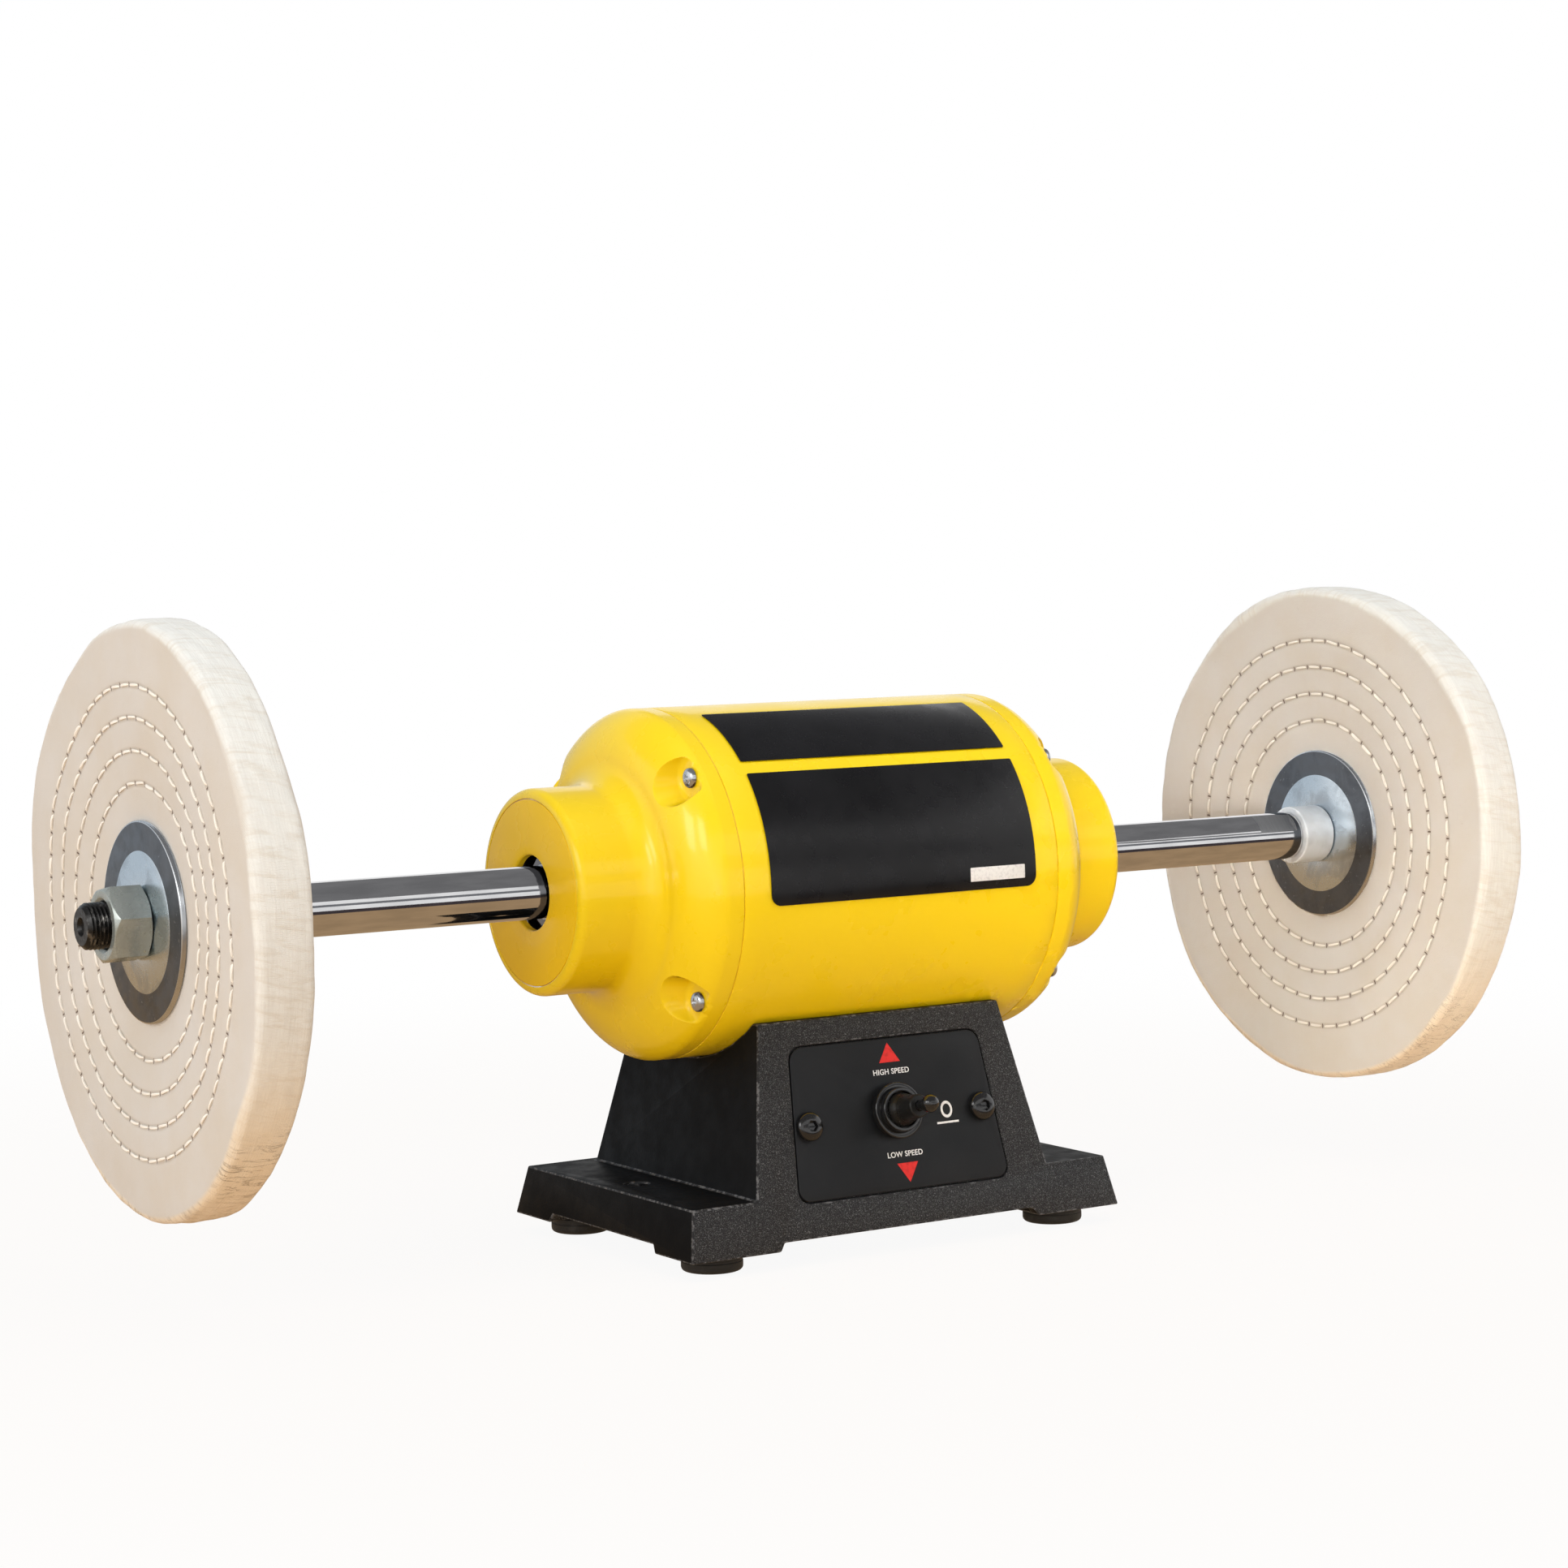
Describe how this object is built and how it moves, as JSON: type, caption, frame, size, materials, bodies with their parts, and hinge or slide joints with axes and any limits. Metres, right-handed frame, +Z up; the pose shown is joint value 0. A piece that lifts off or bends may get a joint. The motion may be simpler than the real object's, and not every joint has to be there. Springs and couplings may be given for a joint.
{
  "type": "bench buffer",
  "caption": "Bench buffer: electric motor on a hollow cast stand, long double-ended shaft with a sewn cloth wheel at each end, and a three-position toggle switch.",
  "frame": {"origin": "on the bench, under the middle of the machine", "axes": "+X along the shaft to the right as seen from the switch, -Y to the front with the switch, +Z up"},
  "size_m": [0.5744, 0.2032, 0.2351],
  "materials": {
    "black_casting": "black wrinkle powder coat with pale worn edges",
    "black_sheet": "satin black enamel",
    "black_steel": "black oxide, glossy",
    "black_plastic": "glossy black",
    "rubber": "matt black rubber",
    "yellow_paint": "gloss yellow enamel",
    "black_label": "satin black film, unmarked",
    "polished_steel": "ground and polished",
    "bearing_steel": "ground steel",
    "zinc": "zinc plated",
    "pale_collar": "pale satin",
    "sewn_cotton": "unbleached cotton discs, sewn in rings",
    "laminations": "stacked sheet steel",
    "copper": "varnished copper winding",
    "capacitor_can": "plain can",
    "insulation": "black sleeving"
  },
  "bodies": {
    "stand": {"base_casting": "black_casting", "bottom_plate": "black_sheet", "foot_front_left": "rubber", "foot_front_right": "rubber", "foot_back_left": "rubber", "foot_back_right": "rubber", "cover_screw_front_left": "zinc", "cover_screw_front_right": "zinc", "cover_screw_back_left": "zinc", "cover_screw_back_right": "zinc", "lead_bundle": "insulation", "switch_plate": "black_sheet", "plate_screw_left": "black_steel", "plate_screw_right": "black_steel", "toggle_switch_body": "black_plastic", "switch_nut": "black_plastic", "capacitor": "capacitor_can", "capacitor_clamp": "zinc", "cord_grommet": "rubber", "motor_housing": "yellow_paint", "stator_core": "laminations", "stator_winding_left": "copper", "stator_winding_right": "copper", "label_lower": "black_label", "label_upper": "black_label", "end_bell_left": "yellow_paint", "end_bell_right": "yellow_paint", "bell_cover_left": "yellow_paint", "bell_cover_right": "yellow_paint", "bell_screw_left_1": "zinc", "bell_screw_left_2": "zinc", "bell_screw_left_3": "zinc", "bell_screw_left_4": "zinc", "bell_screw_right_1": "zinc", "bell_screw_right_2": "zinc", "bell_screw_right_3": "zinc", "bell_screw_right_4": "zinc", "bearing_outer_left": "bearing_steel", "bearing_outer_right": "bearing_steel", "wave_washer": "bearing_steel", "saddle_bolt_left": "zinc", "saddle_bolt_right": "zinc"},
    "spindle": {"spindle_shaft": "polished_steel", "rotor_core": "laminations", "bearing_inner_left": "bearing_steel", "bearing_inner_right": "bearing_steel", "spacer_left": "pale_collar", "spacer_right": "pale_collar", "flange_inner_left": "zinc", "flange_inner_right": "zinc", "flange_outer_left": "zinc", "flange_outer_right": "zinc", "buffing_wheel_left": "sewn_cotton", "buffing_wheel_right": "sewn_cotton", "arbor_nut_left": "zinc", "arbor_nut_right": "zinc"},
    "left_balls": {"ball_cage_left": "bearing_steel"},
    "right_balls": {"ball_cage_right": "bearing_steel"},
    "toggle": {"toggle_lever": "black_plastic", "toggle_boot": "rubber"}
  },
  "joints": [
    {"name": "spindle_spin", "type": "hinge", "parent": "stand", "child": "spindle", "pos_m": [0, 0, 0.1335], "axis": [1, 0, 0], "continuous": true},
    {"name": "left_balls_roll", "type": "hinge", "parent": "stand", "child": "left_balls", "pos_m": [0, 0, 0.1335], "axis": [1, 0, 0], "continuous": true},
    {"name": "right_balls_roll", "type": "hinge", "parent": "stand", "child": "right_balls", "pos_m": [0, 0, 0.1335], "axis": [1, 0, 0], "continuous": true},
    {"name": "toggle_throw", "type": "hinge", "parent": "stand", "child": "toggle", "pos_m": [0, -0.05799, 0.05061], "axis": [1, 0, 0], "range_deg": [-13, 13]}
  ],
  "couplings": [
    {"joint": "left_balls_roll", "follows": "spindle_spin", "ratio": 0.3815},
    {"joint": "right_balls_roll", "follows": "spindle_spin", "ratio": 0.3815}
  ]
}
